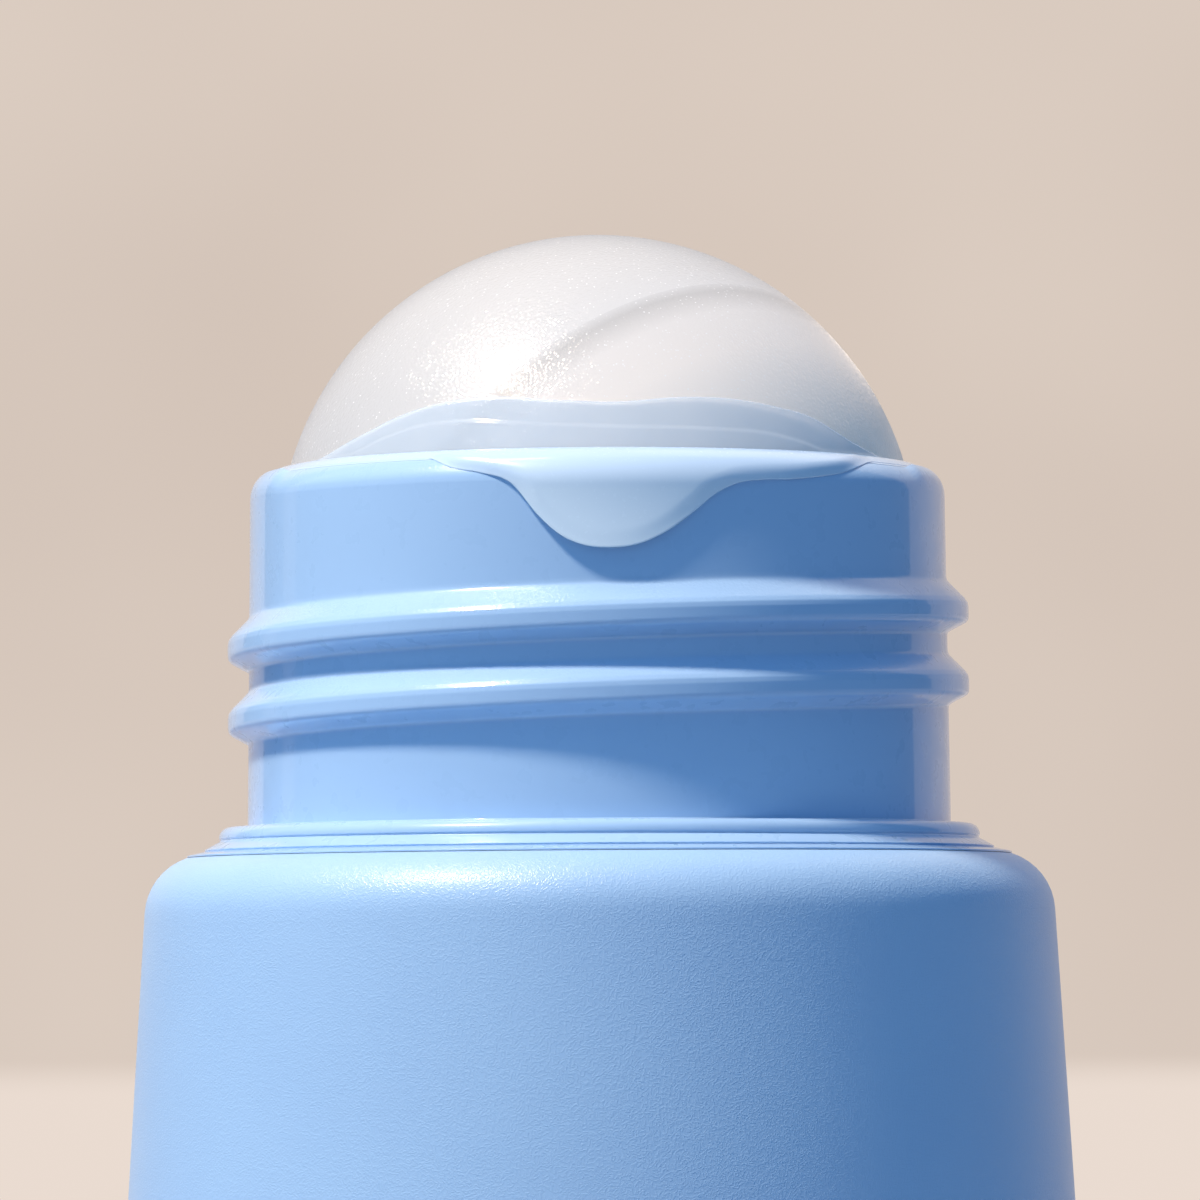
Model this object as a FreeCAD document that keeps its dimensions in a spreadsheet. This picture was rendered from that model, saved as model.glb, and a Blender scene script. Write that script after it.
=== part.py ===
import FreeCAD, Part
import math
import os
import Sketcher
from types import SimpleNamespace

# Roll-on bottle, in millimetres. The origin is the middle of the foot, +Z is up, and the tongue of
# the lip marks the front, which faces -Y. Heights are measured from the foot.
DIMENSIONS = {
    # Tapered outer jacket
    "foot_radius": 28.45,
    "foot_round": 1.0,
    "jacket_wall": 1.7,
    "jacket_height": 58.0,
    "jacket_top_radius": 22.83,
    "flank_top_radius": 25.151,
    "flank_top_height": 54.98,
    "shoulder_round": 3.4,
    "mouth_radius": 22.0,
    "mouth_depth": 1.6,
    "mouth_lead": 1.0,
    # Plug in the foot
    "plug_gap": 0.02,
    "plug_height": 7.0,
    "plug_wall": 1.3,
    "plug_recess_radius": 20.5,
    "plug_recess": 1.2,
    "plug_floor": 2.8,
    "cradle_inner_radius": 15.5,
    "cradle_outer_radius": 17.5,
    "bottle_floor": 6.5,
    # Inner bottle
    "bottle_wall": 1.2,
    "bottle_foot_radius": 21.0,
    "bottle_foot_round": 2.5,
    "bottle_top_radius": 21.9,
    "throat_radius": 17.6,
    "throat_height": 59.5,
    "widening_height": 56.2,
    "ledge_height": 64.0,
    "bore_radius": 18.55,
    # Collar at the root of the neck
    "flange_radius": 22.8,
    "flange_gap": 0.06,
    "flange_edge": 0.1,
    "flange_inner_radius": 21.95,
    "cone_radius": 21.85,
    "cone_height": 58.43,
    "cone_edge": 0.1,
    "bead_radius": 21.04,
    "bead_low": 58.95,
    "bead_high": 59.69,
    "bead_round": 0.62,
    "bead_groove": 0.06,
    "bead_groove_height": 0.08,
    # Neck and rim
    "neck_root_radius": 19.45,
    "neck_top_radius": 19.25,
    "rim_height": 79.45,
    "rim_round": 1.6,
    # Shallow seat in the front of the rim, under the tongue
    "notch_depth": 0.25,
    "notch_half_angle": 67.0,
    "notch_inner_radius": 18.4,
    "notch_foot_radius": 19.27,
    "notch_outer_radius": 19.9,
    # Cap thread
    "thread_pitch": 4.03,
    "thread_turns": 2.0,
    "thread_start": 64.53,
    "thread_root_radius": 19.0,
    "thread_crest_radius": 20.53,
    # Thread profile, as distances from the crest: down, up and inward
    "thread_foot_down": 1.48,
    "thread_flank_down": 0.83,
    "thread_flank_in": 0.27,
    "thread_flank_round": 0.4,
    "thread_crest_down": 0.45,
    "thread_crest_up": 0.1,
    "thread_back_up": 0.6,
    "thread_back_in": 0.23,
    "thread_back_round": 0.6,
    "thread_foot_up": 1.9,
    # Flats where the thread runs out
    "run_out_depth": 0.05,
    "run_out_half_width": 8.55,
    "run_out_down": 2.0,
    "run_out_up": 2.1,
    # Rolling ball, whose weld seam lies at a slant
    "ball_radius": 17.75,
    "ball_wall": 1.4,
    "ball_height": 74.7,
    "weld_step": 0.9,
    "seam_lean": 54.0,
    "seam_heading": 137.5,
    # Socket under the ball
    "socket_radius": 18.5,
    "socket_top": 77.2,
    "socket_foot": 64.05,
    "land_radius": 17.9,
    "land_low": 68.5,
    "gallery_top": 68.0,
    "gallery_radius": 18.7,
    "bowl_radius": 20.2,
    "feed_hole_radius": 4.0,
    "rib_radius": 17.83,
    "rib_low": 58.2,
    "rib_high": 63.2,
    "rib_width": 1.6,
    "rib_count": 6,
    "slot_ring_radius": 9.0,
    "slot_radius": 1.6,
    # Seal ring in the socket's groove
    "groove_low": 64.65,
    "groove_high": 66.0,
    "groove_radius": 17.35,
    "ring_radius": 17.93,
    "ring_section": 0.58,
    # Wiper seal
    "seal_radius": 17.87,
    "seal_thick_radius": 18.15,
    "seal_thin_radius": 18.0,
    "seal_foot_top": 77.7,
    "seal_rest_height": 79.5,
    "seal_thick_reach": 81.6,
    "seal_thin_reach": 82.9,
    # Upper edge of the seal's thin apron, from left to right
    "thin_left_x": -15.8,
    "thin_hump_x": -10.4,
    "thin_hump_z": 81.62,
    "thin_hump_round": 7.0,
    "thin_hump_end_x": -5.2,
    "thin_hump_end_z": 82.33,
    "thin_dip_x": -2.2,
    "thin_dip_z": 82.08,
    "thin_dip_round": 9.0,
    "thin_rise_x": 2.8,
    "thin_rise_z": 82.15,
    "thin_rise_round": 14.0,
    "thin_fall_x": 8.6,
    "thin_fall_z": 82.07,
    "thin_fall_round": 9.0,
    "thin_fall_end_x": 12.4,
    "thin_fall_end_z": 81.05,
    "thin_right_x": 15.6,
    # Upper edge of its thick step, from left to right
    "thick_left_x": -14.2,
    "thick_hump_x": -10.9,
    "thick_hump_z": 80.55,
    "thick_hump_round": 5.0,
    "thick_hump_end_x": -7.2,
    "thick_hump_end_z": 81.02,
    "thick_middle_z": 80.6,
    "thick_fall_x": 7.5,
    "thick_fall_z": 80.45,
    "thick_fall_round": 6.0,
    "thick_fall_end_x": 10.6,
    "thick_fall_end_z": 79.95,
    "thick_right_x": 12.2,
    # Retaining lip
    "lip_inner_radius": 18.2,
    "lip_gap": 0.05,
    "lip_crown": 79.47,
    "lip_crown_radius": 17.6,
    "lip_round": 2.08,
    "lip_edge_height": 79.25,
    "lip_edge_reach": 17.0,
    "lip_skin": 0.3,
    "lip_ring_outer_step": 0.005,
    "lip_ring_inner_step": 0.17,
    "tongue_thickness": 0.4,
    "tongue_flare": 0.06,
    "tongue_reach": 73.2,
    # Lower edge of the tongue, from right to left
    "tongue_brow_x": 10.5,
    "tongue_brow_z": 77.62,
    "tongue_bend_x": 8.9,
    "tongue_bend_z": 77.55,
    "tongue_bend_round": 4.2,
    "tongue_right_x": 6.2,
    "tongue_right_z": 76.75,
    "tip_right_x": 4.2,
    "tip_right_z": 75.2,
    "tip_round": 5.5,
    "tip_left_x": -3.29,
    "tip_left_z": 75.55,
    "tongue_left_x": -4.55,
    "tongue_left_z": 77.2,
    "tongue_left_round": 2.2,
    "tongue_end_x": -6.2,
    "tongue_end_z": 77.98,
    # Reach of the cuts that trim the lip and the seal
    "trim_half_width": 22.0,
    "trim_above": 90.0,
    "trim_below": 72.2,
}
CUT_REACH = 30.0

doc = FreeCAD.newDocument("roll_on_bottle")


class Size:
    """A length that holds its value and the expression that ties it to the sheet."""

    def __init__(self, value, text):
        self.value = value
        self.text = text

    def __add__(self, other):
        other = as_size(other)
        return Size(self.value + other.value, f"({self.text} + {other.text})")

    def __sub__(self, other):
        other = as_size(other)
        return Size(self.value - other.value, f"({self.text} - {other.text})")

    def __mul__(self, other):
        other = as_size(other)
        return Size(self.value * other.value, f"({self.text} * {other.text})")

    def __neg__(self):
        return Size(-self.value, f"(0 - {self.text})")


def as_size(item):
    if isinstance(item, Size):
        return item
    return Size(float(item), str(float(item)))


def root(size):
    return Size(math.sqrt(size.value), f"sqrt({size.text})")


def make_sheet():
    sheet = doc.addObject("Spreadsheet::Sheet", "dims")
    for row, (name, value) in enumerate(DIMENSIONS.items(), start=1):
        sheet.set(f"A{row}", name)
        sheet.set(f"B{row}", str(value))
        sheet.setAlias(f"B{row}", name)
    doc.recompute()
    return SimpleNamespace(**{name: Size(value, f"dims.{name}") for name, value in DIMENSIONS.items()})


def on_ball_sphere(radius, height):
    """Point of the half section at a height, on a sphere round the ball's centre."""
    rise = as_size(height) - d.ball_height
    return (root(radius * radius - rise * rise), height)


def flank_inside(height):
    """Radius of the jacket's straight inner wall at a height."""
    slope = (DIMENSIONS["foot_radius"] - DIMENSIONS["flank_top_radius"]) / DIMENSIONS["flank_top_height"]
    return d.foot_radius - d.jacket_wall - as_size(height) * slope


def arc_height(radius, centre_radius, centre_height, rounding):
    """Height of the upper side of a rounding at a radius of the half section."""
    reach = radius - centre_radius
    return centre_height + root(rounding * rounding - reach * reach)


def new_body(label):
    body = doc.addObject("PartDesign::Body", label)
    body.Label = label
    return body


def origin_feature(body, role):
    return next(feature for feature in body.Origin.OriginFeatures if feature.Role == role)


def new_sketch(body, name, plane):
    sketch = body.newObject("Sketcher::SketchObject", f"{body.Name}_{name}_sketch")
    sketch.AttachmentSupport = [(origin_feature(body, plane), "")]
    sketch.MapMode = "FlatFace"
    return sketch


def arc_between(start, end, radius):
    """Arc of under a half circle. It turns left where the radius is positive, right where negative."""
    chord = end - start
    left = FreeCAD.Vector(-chord.y, chord.x, 0).normalize()
    rise = math.sqrt(radius**2 - (chord.Length / 2) ** 2)
    centre = (start + end) * 0.5 + left * math.copysign(rise, radius)
    first, last = (start, end) if radius > 0 else (end, start)
    angles = [math.atan2(point.y - centre.y, point.x - centre.x) for point in (first, last)]
    return Part.ArcOfCircle(Part.Circle(centre, FreeCAD.Vector(0, 0, 1), abs(radius)), *angles)


def tie(sketch, constraint, size):
    number = sketch.addConstraint(constraint)
    sketch.setExpression(f"Constraints[{number}]", size.text)


def pin(sketch, index, position, place):
    """Hold a point of the sketch at its distances from the sketch's origin."""
    for kind, axis, item in (("DistanceX", -2, place[0]), ("DistanceY", -1, place[1])):
        size = as_size(item)
        if size.value == 0:
            sketch.addConstraint(Sketcher.Constraint("PointOnObject", index, position, axis))
        else:
            tie(sketch, Sketcher.Constraint(kind, -1, 1, index, position, size.value), size)


def draw_outline(sketch, corners):
    """Closed chain of edges. A third item in a corner makes the edge after it an arc of that radius."""
    places = [FreeCAD.Vector(as_size(c[0]).value, as_size(c[1]).value, 0) for c in corners]
    edges = []
    for number, corner in enumerate(corners):
        start = places[number]
        end = places[(number + 1) % len(places)]
        if len(corner) == 2:
            index = sketch.addGeometry(Part.LineSegment(start, end), False)
            edges.append((index, 1, 2))
            continue
        radius = as_size(corner[2])
        index = sketch.addGeometry(arc_between(start, end, radius.value), False)
        edges.append((index, 1, 2) if radius.value > 0 else (index, 2, 1))
        length = radius if radius.value > 0 else -radius
        tie(sketch, Sketcher.Constraint("Radius", index, length.value), length)
    for number, corner in enumerate(corners):
        index, first, _ = edges[number]
        before, _, last = edges[number - 1]
        sketch.addConstraint(Sketcher.Constraint("Coincident", before, last, index, first))
        pin(sketch, index, first, corner)


def rectangle(half_width, low, high):
    return [(-half_width, low), (half_width, low), (half_width, high), (-half_width, high)]


def draw_circle(sketch, place, radius):
    centre = FreeCAD.Vector(as_size(place[0]).value, as_size(place[1]).value, 0)
    circle = Part.Circle(centre, FreeCAD.Vector(0, 0, 1), radius.value)
    index = sketch.addGeometry(circle, False)
    tie(sketch, Sketcher.Constraint("Radius", index, radius.value), radius)
    pin(sketch, index, 3, place)


def turn(body, name, sketch):
    """Turn a half section on XZ round the bottle's axis."""
    feature = body.newObject("PartDesign::Revolution", f"{body.Name}_{name}")
    feature.Profile = sketch
    feature.ReferenceAxis = (sketch, ["V_Axis"])
    feature.Angle = 360.0
    doc.recompute()
    return feature


def turn_outline(body, name, corners):
    sketch = new_sketch(body, name, "XZ_Plane")
    draw_outline(sketch, corners)
    return turn(body, name, sketch)


def cut(body, name, sketch, length, reverse=False):
    """Pocket that has to take some material away."""
    before = body.Shape.Volume
    pocket = body.newObject("PartDesign::Pocket", f"{body.Name}_{name}")
    pocket.Profile = sketch
    pocket.Length = length
    pocket.Reversed = reverse
    doc.recompute()
    if pocket.Shape.Volume > before - 1e-3:
        raise RuntimeError(f"{body.Label}: {name} cuts nothing")
    return pocket


def cut_side(body, name, corners, front):
    """Cut an outline drawn on XZ through the front half or the back half."""
    sketch = new_sketch(body, name, "XZ_Plane")
    draw_outline(sketch, corners)
    return cut(body, name, sketch, CUT_REACH, reverse=front)


def spread(body, feature, count):
    """Repeat a feature evenly round the bottle's axis."""
    pattern = body.newObject("PartDesign::PolarPattern", f"{feature.Name}_spread")
    pattern.Originals = [feature]
    pattern.Axis = (origin_feature(body, "Z_Axis"), [""])
    pattern.Angle = 360.0
    pattern.setExpression("Occurrences", count.text)
    body.Tip = pattern
    doc.recompute()
    return pattern


def make_outer_jacket():
    body = new_body("outer_jacket")
    inner_top = d.flank_top_height - d.mouth_lead
    turn_outline(body, "shell", [
        (flank_inside(0), 0),
        (d.foot_radius - d.foot_round, 0, d.foot_round),
        (d.foot_radius, d.foot_round),
        (d.flank_top_radius, d.flank_top_height, d.shoulder_round),
        (d.jacket_top_radius, d.jacket_height),
        (d.mouth_radius, d.jacket_height),
        (d.mouth_radius, d.jacket_height - d.mouth_depth),
        (flank_inside(inner_top), inner_top),
    ])
    return body


def make_base_plug():
    body = new_body("base_plug")
    skirt_low = flank_inside(0) - d.plug_gap
    skirt_high = flank_inside(d.plug_height) - d.plug_gap
    turn_outline(body, "plug", [
        (0, d.plug_recess),
        (d.plug_recess_radius, d.plug_recess),
        (d.plug_recess_radius + d.plug_recess, 0),
        (skirt_low, 0),
        (skirt_high, d.plug_height),
        (skirt_high - d.plug_wall, d.plug_height),
        (skirt_high - d.plug_wall, d.plug_floor),
        (d.cradle_outer_radius, d.plug_floor),
        (d.cradle_outer_radius, d.bottle_floor),
        (d.cradle_inner_radius, d.bottle_floor),
        (d.cradle_inner_radius, d.plug_floor),
        (0, d.plug_floor),
    ])
    return body


def add_thread(body):
    """Buttress thread that climbs two turns to the right, from the back of the neck to the back."""
    profile = new_sketch(body, "thread", "YZ_Plane")
    crest = d.thread_crest_radius
    start = d.thread_start
    draw_outline(profile, [
        (d.thread_root_radius, start - d.thread_foot_down),
        (crest - d.thread_flank_in, start - d.thread_flank_down, d.thread_flank_round),
        (crest, start - d.thread_crest_down),
        (crest, start + d.thread_crest_up, d.thread_back_round),
        (crest - d.thread_back_in, start + d.thread_back_up),
        (d.thread_root_radius, start + d.thread_foot_up),
    ])
    thread = body.newObject("PartDesign::AdditiveHelix", "inner_bottle_thread")
    thread.Profile = profile
    thread.ReferenceAxis = (profile, ["V_Axis"])
    thread.Mode = "pitch-turns-angle"
    thread.setExpression("Pitch", d.thread_pitch.text)
    thread.setExpression("Turns", d.thread_turns.text)
    doc.recompute()


def cut_tongue_notch(body):
    """Seat in the front of the rim, so that the lip is as thick there as on the wall."""
    foot = d.rim_height - d.rim_round - d.notch_depth
    inner = d.notch_inner_radius
    centre = d.notch_foot_radius - d.rim_round
    sketch = new_sketch(body, "notch", "YZ_Plane")
    draw_outline(sketch, [
        (-inner, d.trim_above),
        (-inner, arc_height(inner, centre, foot, d.rim_round), d.rim_round),
        (-d.notch_foot_radius, foot),
        (-d.notch_outer_radius, foot),
        (-d.notch_outer_radius, d.trim_above),
    ])
    before = body.Shape.Volume
    groove = body.newObject("PartDesign::Groove", "inner_bottle_notch")
    groove.Profile = sketch
    groove.ReferenceAxis = (sketch, ["V_Axis"])
    groove.Midplane = True
    groove.setExpression("Angle", f"{d.notch_half_angle.text} * 2deg")
    doc.recompute()
    if groove.Shape.Volume > before - 1e-3:
        raise RuntimeError("the notch cuts nothing")


def fade_thread_ends(body):
    """Flats at the back that let both ends of the thread run out into the neck."""
    rise = d.thread_pitch * d.thread_turns
    taper = (DIMENSIONS["neck_root_radius"] - DIMENSIONS["neck_top_radius"]) / (
        DIMENSIONS["rim_height"] - DIMENSIONS["rim_round"] - DIMENSIONS["bead_high"])
    half_width = d.run_out_half_width
    for name, height in (("low_end", d.thread_start), ("high_end", d.thread_start + rise)):
        depth = d.neck_root_radius - (height - d.bead_high) * taper - d.run_out_depth
        sketch = new_sketch(body, name, "XZ_Plane")
        sketch.setExpression("AttachmentOffset.Base.z", f"(0 - {depth.text}) * 1mm")
        draw_outline(sketch, rectangle(half_width, height - d.run_out_down, height + d.run_out_up))
        cut(body, name, sketch, CUT_REACH)


def make_inner_bottle():
    body = new_body("inner_bottle")
    flange_low = d.jacket_height + d.flange_gap
    rim_start = d.rim_height - d.rim_round
    inside_foot = d.bottle_foot_radius - d.bottle_wall
    inside_top = d.bottle_top_radius - d.bottle_wall
    inside_floor = d.bottle_floor + d.bottle_wall
    turn_outline(body, "shell", [
        (0, d.bottle_floor),
        (d.bottle_foot_radius - d.bottle_foot_round, d.bottle_floor, d.bottle_foot_round),
        (d.bottle_foot_radius, d.bottle_floor + d.bottle_foot_round),
        (d.bottle_top_radius, d.widening_height),
        (d.bottle_top_radius, flange_low),
        (d.flange_radius, flange_low),
        (d.flange_radius, flange_low + d.flange_edge),
        (d.flange_inner_radius, d.cone_height - d.cone_edge),
        (d.cone_radius, d.cone_height),
        (d.bead_radius, d.bead_low - d.bead_groove_height),
        (d.bead_radius - d.bead_groove, d.bead_low),
        (d.bead_radius, d.bead_high - d.bead_round, d.bead_round),
        (d.bead_radius - d.bead_round, d.bead_high),
        (d.neck_root_radius, d.bead_high),
        (d.neck_top_radius, rim_start, d.rim_round),
        (d.bore_radius, arc_height(d.bore_radius, d.neck_top_radius - d.rim_round, rim_start, d.rim_round)),
        (d.bore_radius, d.ledge_height),
        (d.throat_radius, d.ledge_height),
        (d.throat_radius, d.throat_height),
        (inside_top, d.widening_height),
        (inside_foot, d.bottle_floor + d.bottle_foot_round, -(d.bottle_foot_round - d.bottle_wall)),
        (d.bottle_foot_radius - d.bottle_foot_round, inside_floor),
        (0, inside_floor),
    ])
    add_thread(body)
    fade_thread_ends(body)
    cut_tongue_notch(body)
    return body


def make_ball_socket():
    body = new_body("ball_socket")
    hole = d.feed_hole_radius
    turn_outline(body, "cup", [
        (hole, d.ball_height - root(d.bowl_radius * d.bowl_radius - hole * hole), d.bowl_radius),
        on_ball_sphere(d.bowl_radius, d.socket_foot),
        (d.socket_radius, d.socket_foot),
        (d.socket_radius, d.groove_low),
        (d.groove_radius, d.groove_low),
        (d.groove_radius, d.groove_high),
        (d.socket_radius, d.groove_high),
        (d.socket_radius, d.socket_top),
        (*on_ball_sphere(d.land_radius, d.socket_top), -d.land_radius),
        on_ball_sphere(d.land_radius, d.land_low),
        (*on_ball_sphere(d.gallery_radius, d.gallery_top), -d.gallery_radius),
        (hole, d.ball_height - root(d.gallery_radius * d.gallery_radius - hole * hole)),
    ])
    add_seat_ribs(body)
    add_feed_slots(body)
    return body


def add_seat_ribs(body):
    """Ribs in the bowl that carry the ball and leave room for the liquid between them."""
    sketch = new_sketch(body, "rib", "XZ_Plane")
    rooted = (d.gallery_radius + d.bowl_radius) * 0.5
    draw_outline(sketch, [
        on_ball_sphere(d.rib_radius, d.rib_low),
        (*on_ball_sphere(rooted, d.rib_low), rooted),
        on_ball_sphere(rooted, d.rib_high),
        (*on_ball_sphere(d.rib_radius, d.rib_high), -d.rib_radius),
    ])
    rib = body.newObject("PartDesign::Pad", "ball_socket_rib")
    rib.Profile = sketch
    rib.SideType = "Symmetric"
    rib.setExpression("Length", d.rib_width.text)
    doc.recompute()
    spread(body, rib, d.rib_count)


def add_feed_slots(body):
    """Round feed holes through the bowl, midway between the ribs."""
    half_step = math.pi / DIMENSIONS["rib_count"]
    place = (d.slot_ring_radius * math.cos(half_step), d.slot_ring_radius * math.sin(half_step))
    sketch = new_sketch(body, "slot", "XY_Plane")
    draw_circle(sketch, place, d.slot_radius)
    slot = cut(body, "slot", sketch, DIMENSIONS["rib_high"], reverse=True)
    spread(body, slot, d.rib_count)


def make_head_o_ring():
    body = new_body("head_o_ring")
    sketch = new_sketch(body, "section", "XZ_Plane")
    draw_circle(sketch, (d.ring_radius, (d.groove_low + d.groove_high) * 0.5), d.ring_section)
    turn(body, "ring", sketch)
    return body


def make_wiper_seal():
    """Soft lip on the ball. Its apron stands up at the front, in a thick and a thin step."""
    body = new_body("wiper_seal")
    rest = d.seal_rest_height
    above = d.trim_above
    side = d.trim_half_width
    turn_outline(body, "thick_lip", [
        on_ball_sphere(d.seal_radius, d.socket_top),
        (d.socket_radius, d.socket_top),
        (d.socket_radius, d.seal_foot_top),
        (*on_ball_sphere(d.seal_thick_radius, d.seal_foot_top), d.seal_thick_radius),
        on_ball_sphere(d.seal_thick_radius, d.seal_thick_reach),
        (*on_ball_sphere(d.seal_radius, d.seal_thick_reach), -d.seal_radius),
    ])
    cut_side(body, "thick_wave", [
        (-side, rest),
        (d.thick_left_x, rest),
        (d.thick_hump_x, d.thick_hump_z, -d.thick_hump_round),
        (d.thick_hump_end_x, d.thick_hump_end_z),
        (0, d.thick_middle_z),
        (d.thick_fall_x, d.thick_fall_z, -d.thick_fall_round),
        (d.thick_fall_end_x, d.thick_fall_end_z),
        (d.thick_right_x, rest),
        (side, rest),
        (side, above),
        (-side, above),
    ], front=True)
    cut_side(body, "thick_back", rectangle(side, rest, above), front=False)
    turn_outline(body, "thin_lip", [
        on_ball_sphere(d.seal_radius, d.seal_foot_top),
        (*on_ball_sphere(d.seal_thin_radius, d.seal_foot_top), d.seal_thin_radius),
        on_ball_sphere(d.seal_thin_radius, d.seal_thin_reach),
        (*on_ball_sphere(d.seal_radius, d.seal_thin_reach), -d.seal_radius),
    ])
    cut_side(body, "thin_wave", [
        (-side, rest),
        (d.thin_left_x, rest),
        (d.thin_hump_x, d.thin_hump_z, -d.thin_hump_round),
        (d.thin_hump_end_x, d.thin_hump_end_z),
        (d.thin_dip_x, d.thin_dip_z, d.thin_dip_round),
        (d.thin_rise_x, d.thin_rise_z, -d.thin_rise_round),
        (d.thin_fall_x, d.thin_fall_z, -d.thin_fall_round),
        (d.thin_fall_end_x, d.thin_fall_end_z),
        (d.thin_right_x, rest),
        (side, rest),
        (side, above),
        (-side, above),
    ], front=True)
    cut_side(body, "thin_back", rectangle(side, rest, above), front=False)
    return body


def make_retaining_lip():
    """Thin lip over the rim, cut back to a narrow ring except for the tongue at the front."""
    body = new_body("retaining_lip")
    under = d.rim_round + d.lip_gap
    bend = d.rim_height - d.rim_round - d.notch_depth
    inside = d.neck_top_radius + d.lip_gap
    outside = d.lip_crown_radius + d.lip_round
    flared = inside + d.tongue_flare
    skin_low = d.lip_edge_height - d.lip_skin
    turn_outline(body, "skin", [
        on_ball_sphere(d.lip_inner_radius, skin_low),
        (d.socket_radius, skin_low),
        (d.socket_radius, arc_height(d.socket_radius, inside - under, bend, under), -under),
        (inside, bend),
        (flared, d.tongue_reach),
        (flared + d.tongue_thickness, d.tongue_reach),
        (outside, d.lip_crown - d.lip_round, d.lip_round),
        (d.lip_crown_radius, d.lip_crown),
        (*on_ball_sphere(d.lip_inner_radius, d.lip_crown), -d.lip_inner_radius),
    ])
    edge = d.lip_edge_height
    below = d.trim_below
    side = d.trim_half_width
    cut_side(body, "tongue_outline", [
        (-side, below),
        (side, below),
        (side, edge),
        (d.lip_edge_reach, edge),
        (d.tongue_brow_x, d.tongue_brow_z),
        (d.tongue_bend_x, d.tongue_bend_z, d.tongue_bend_round),
        (d.tongue_right_x, d.tongue_right_z),
        (d.tip_right_x, d.tip_right_z, -d.tip_round),
        (d.tip_left_x, d.tip_left_z),
        (d.tongue_left_x, d.tongue_left_z, d.tongue_left_round),
        (d.tongue_end_x, d.tongue_end_z),
        (-d.lip_edge_reach, edge),
        (-side, edge),
    ], front=True)
    cut_side(body, "back_edge", rectangle(side, below, edge), front=False)
    turn_outline(body, "ring", [
        on_ball_sphere(d.lip_inner_radius, d.seal_foot_top),
        (d.socket_radius, d.seal_foot_top),
        (d.socket_radius, edge + d.lip_ring_outer_step),
        (*on_ball_sphere(d.lip_inner_radius, edge + d.lip_ring_inner_step), -d.lip_inner_radius),
    ])
    return body


def set_in_socket(body):
    """Move half a ball from the origin to the ball's place, and lean its seam."""
    heading = math.radians(DIMENSIONS["seam_heading"])
    lean_axis = FreeCAD.Vector(-math.sin(heading), math.cos(heading), 0)
    centre = FreeCAD.Vector(0, 0, DIMENSIONS["ball_height"])
    body.Placement = FreeCAD.Placement(centre, FreeCAD.Rotation(lean_axis, DIMENSIONS["seam_lean"]))
    body.setExpression("Placement.Base.z", f"{d.ball_height.text} * 1mm")
    body.setExpression("Placement.Rotation.Angle", f"{d.seam_lean.text} * 1deg")
    doc.recompute()


def make_ball_upper_half():
    """Half ball whose edge has a tongue that drops into the other half's step."""
    body = new_body("ball_upper_half")
    inner = d.ball_radius - d.ball_wall
    step_radius = d.ball_radius - d.ball_wall * 0.5
    turn_outline(body, "shell", [
        (inner, -d.weld_step),
        (step_radius, -d.weld_step),
        (step_radius, 0),
        (d.ball_radius, 0, d.ball_radius),
        (0, d.ball_radius),
        (0, inner, -inner),
        (inner, 0),
    ])
    set_in_socket(body)
    return body


def make_ball_lower_half():
    """Half ball with the step that the other half's tongue is welded into."""
    body = new_body("ball_lower_half")
    inner = d.ball_radius - d.ball_wall
    step_radius = d.ball_radius - d.ball_wall * 0.5
    turn_outline(body, "shell", [
        (0, -d.ball_radius, d.ball_radius),
        (d.ball_radius, 0),
        (step_radius, 0),
        (step_radius, -d.weld_step),
        (root(inner * inner - d.weld_step * d.weld_step), -d.weld_step, -inner),
        (0, -inner),
    ])
    set_in_socket(body)
    return body


def check_document():
    for item in doc.Objects:
        if "Invalid" in item.State or "Error" in item.State:
            raise RuntimeError(f"{item.Label} failed: {item.State}")


def check_shape(body):
    shape = body.Shape
    if shape.isNull() or not shape.isValid() or len(shape.Solids) != 1:
        raise RuntimeError(f"{body.Label} isn't one valid solid")


d = make_sheet()
MAKERS = (
    make_outer_jacket,
    make_base_plug,
    make_inner_bottle,
    make_ball_socket,
    make_head_o_ring,
    make_wiper_seal,
    make_retaining_lip,
    make_ball_upper_half,
    make_ball_lower_half,
)
bodies = [make() for make in MAKERS]
doc.recompute()
check_document()
os.makedirs("parts", exist_ok=True)
for body in bodies:
    check_shape(body)
    body.Shape.exportStep(f"parts/{body.Label}.step")
    box = body.Shape.optimalBoundingBox()
    print(f"{body.Label}: {body.Shape.Volume:.1f} mm3, height {box.ZMin:.2f} to {box.ZMax:.2f}")
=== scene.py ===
import math

import bmesh
import bpy
import numpy as np
from mathutils import Matrix, Vector


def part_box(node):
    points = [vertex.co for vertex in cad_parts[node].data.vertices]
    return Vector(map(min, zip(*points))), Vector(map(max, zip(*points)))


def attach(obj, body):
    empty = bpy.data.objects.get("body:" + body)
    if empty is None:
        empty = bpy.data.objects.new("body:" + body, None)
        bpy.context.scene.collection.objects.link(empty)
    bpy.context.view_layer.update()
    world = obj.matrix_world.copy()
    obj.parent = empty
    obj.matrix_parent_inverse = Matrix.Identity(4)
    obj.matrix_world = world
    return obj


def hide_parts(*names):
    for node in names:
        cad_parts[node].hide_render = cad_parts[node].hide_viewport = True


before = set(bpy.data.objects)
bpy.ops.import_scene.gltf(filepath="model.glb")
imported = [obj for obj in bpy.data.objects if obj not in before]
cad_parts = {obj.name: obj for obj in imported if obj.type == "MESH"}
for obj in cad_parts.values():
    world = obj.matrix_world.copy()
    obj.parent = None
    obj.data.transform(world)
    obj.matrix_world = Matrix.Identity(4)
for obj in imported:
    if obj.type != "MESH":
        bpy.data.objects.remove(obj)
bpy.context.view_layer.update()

# Sizes are in millimetres until a mesh is made. The front of the bottle faces -Y.
MM = 0.001

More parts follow.
